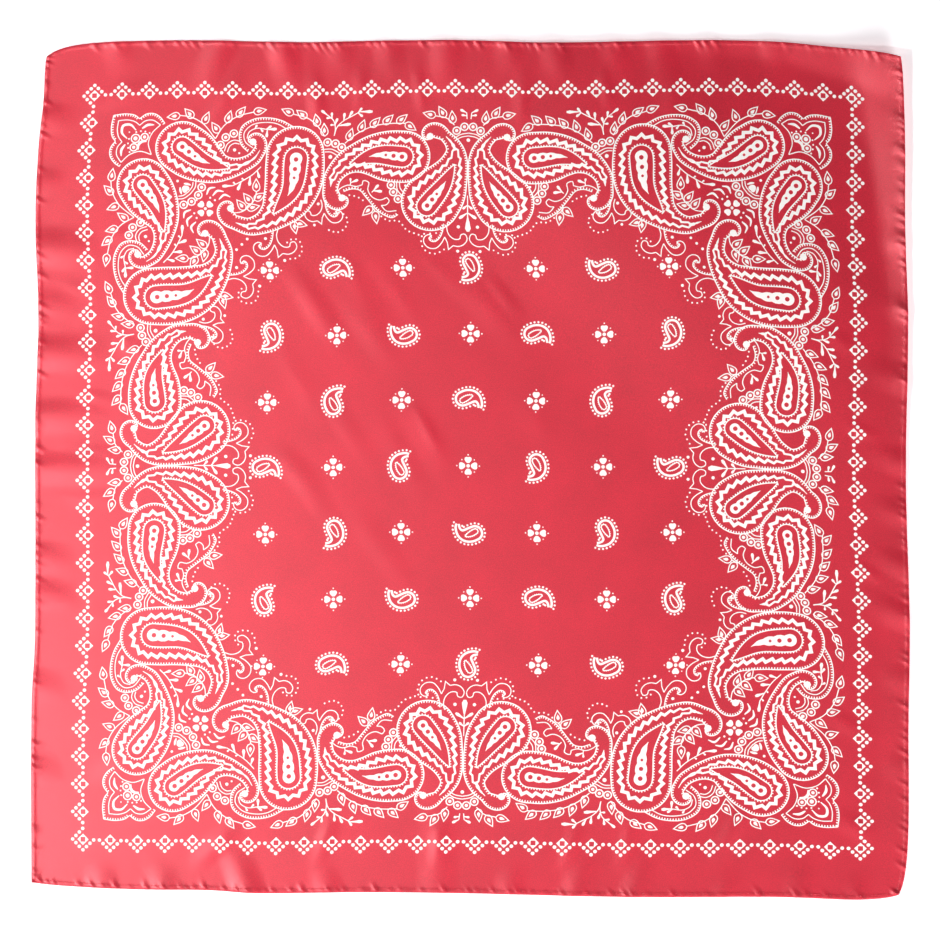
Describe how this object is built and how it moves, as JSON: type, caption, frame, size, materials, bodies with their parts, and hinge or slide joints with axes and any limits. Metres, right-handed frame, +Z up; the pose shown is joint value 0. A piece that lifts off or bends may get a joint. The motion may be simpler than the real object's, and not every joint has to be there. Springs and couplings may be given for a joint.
{
  "type": "bandana",
  "caption": "Square bandana of thin red satin with rolled hems, spread out on a surface with one corner and its side lifted.",
  "frame": {"origin": "centre of the bounding box at the underside, on the surface the cloth lies on", "axes": "+X to the picture's right, +Y to the picture's top, +Z up out of the surface, towards the printed face"},
  "size_m": [0.5586, 0.5466, 0.0122],
  "materials": {
    "satin": "satin"
  },
  "bodies": {
    "root": {"panel": "satin", "hem_top": "satin", "hem_right": "satin", "hem_bottom": "satin", "hem_left": "satin"}
  },
  "joints": []
}
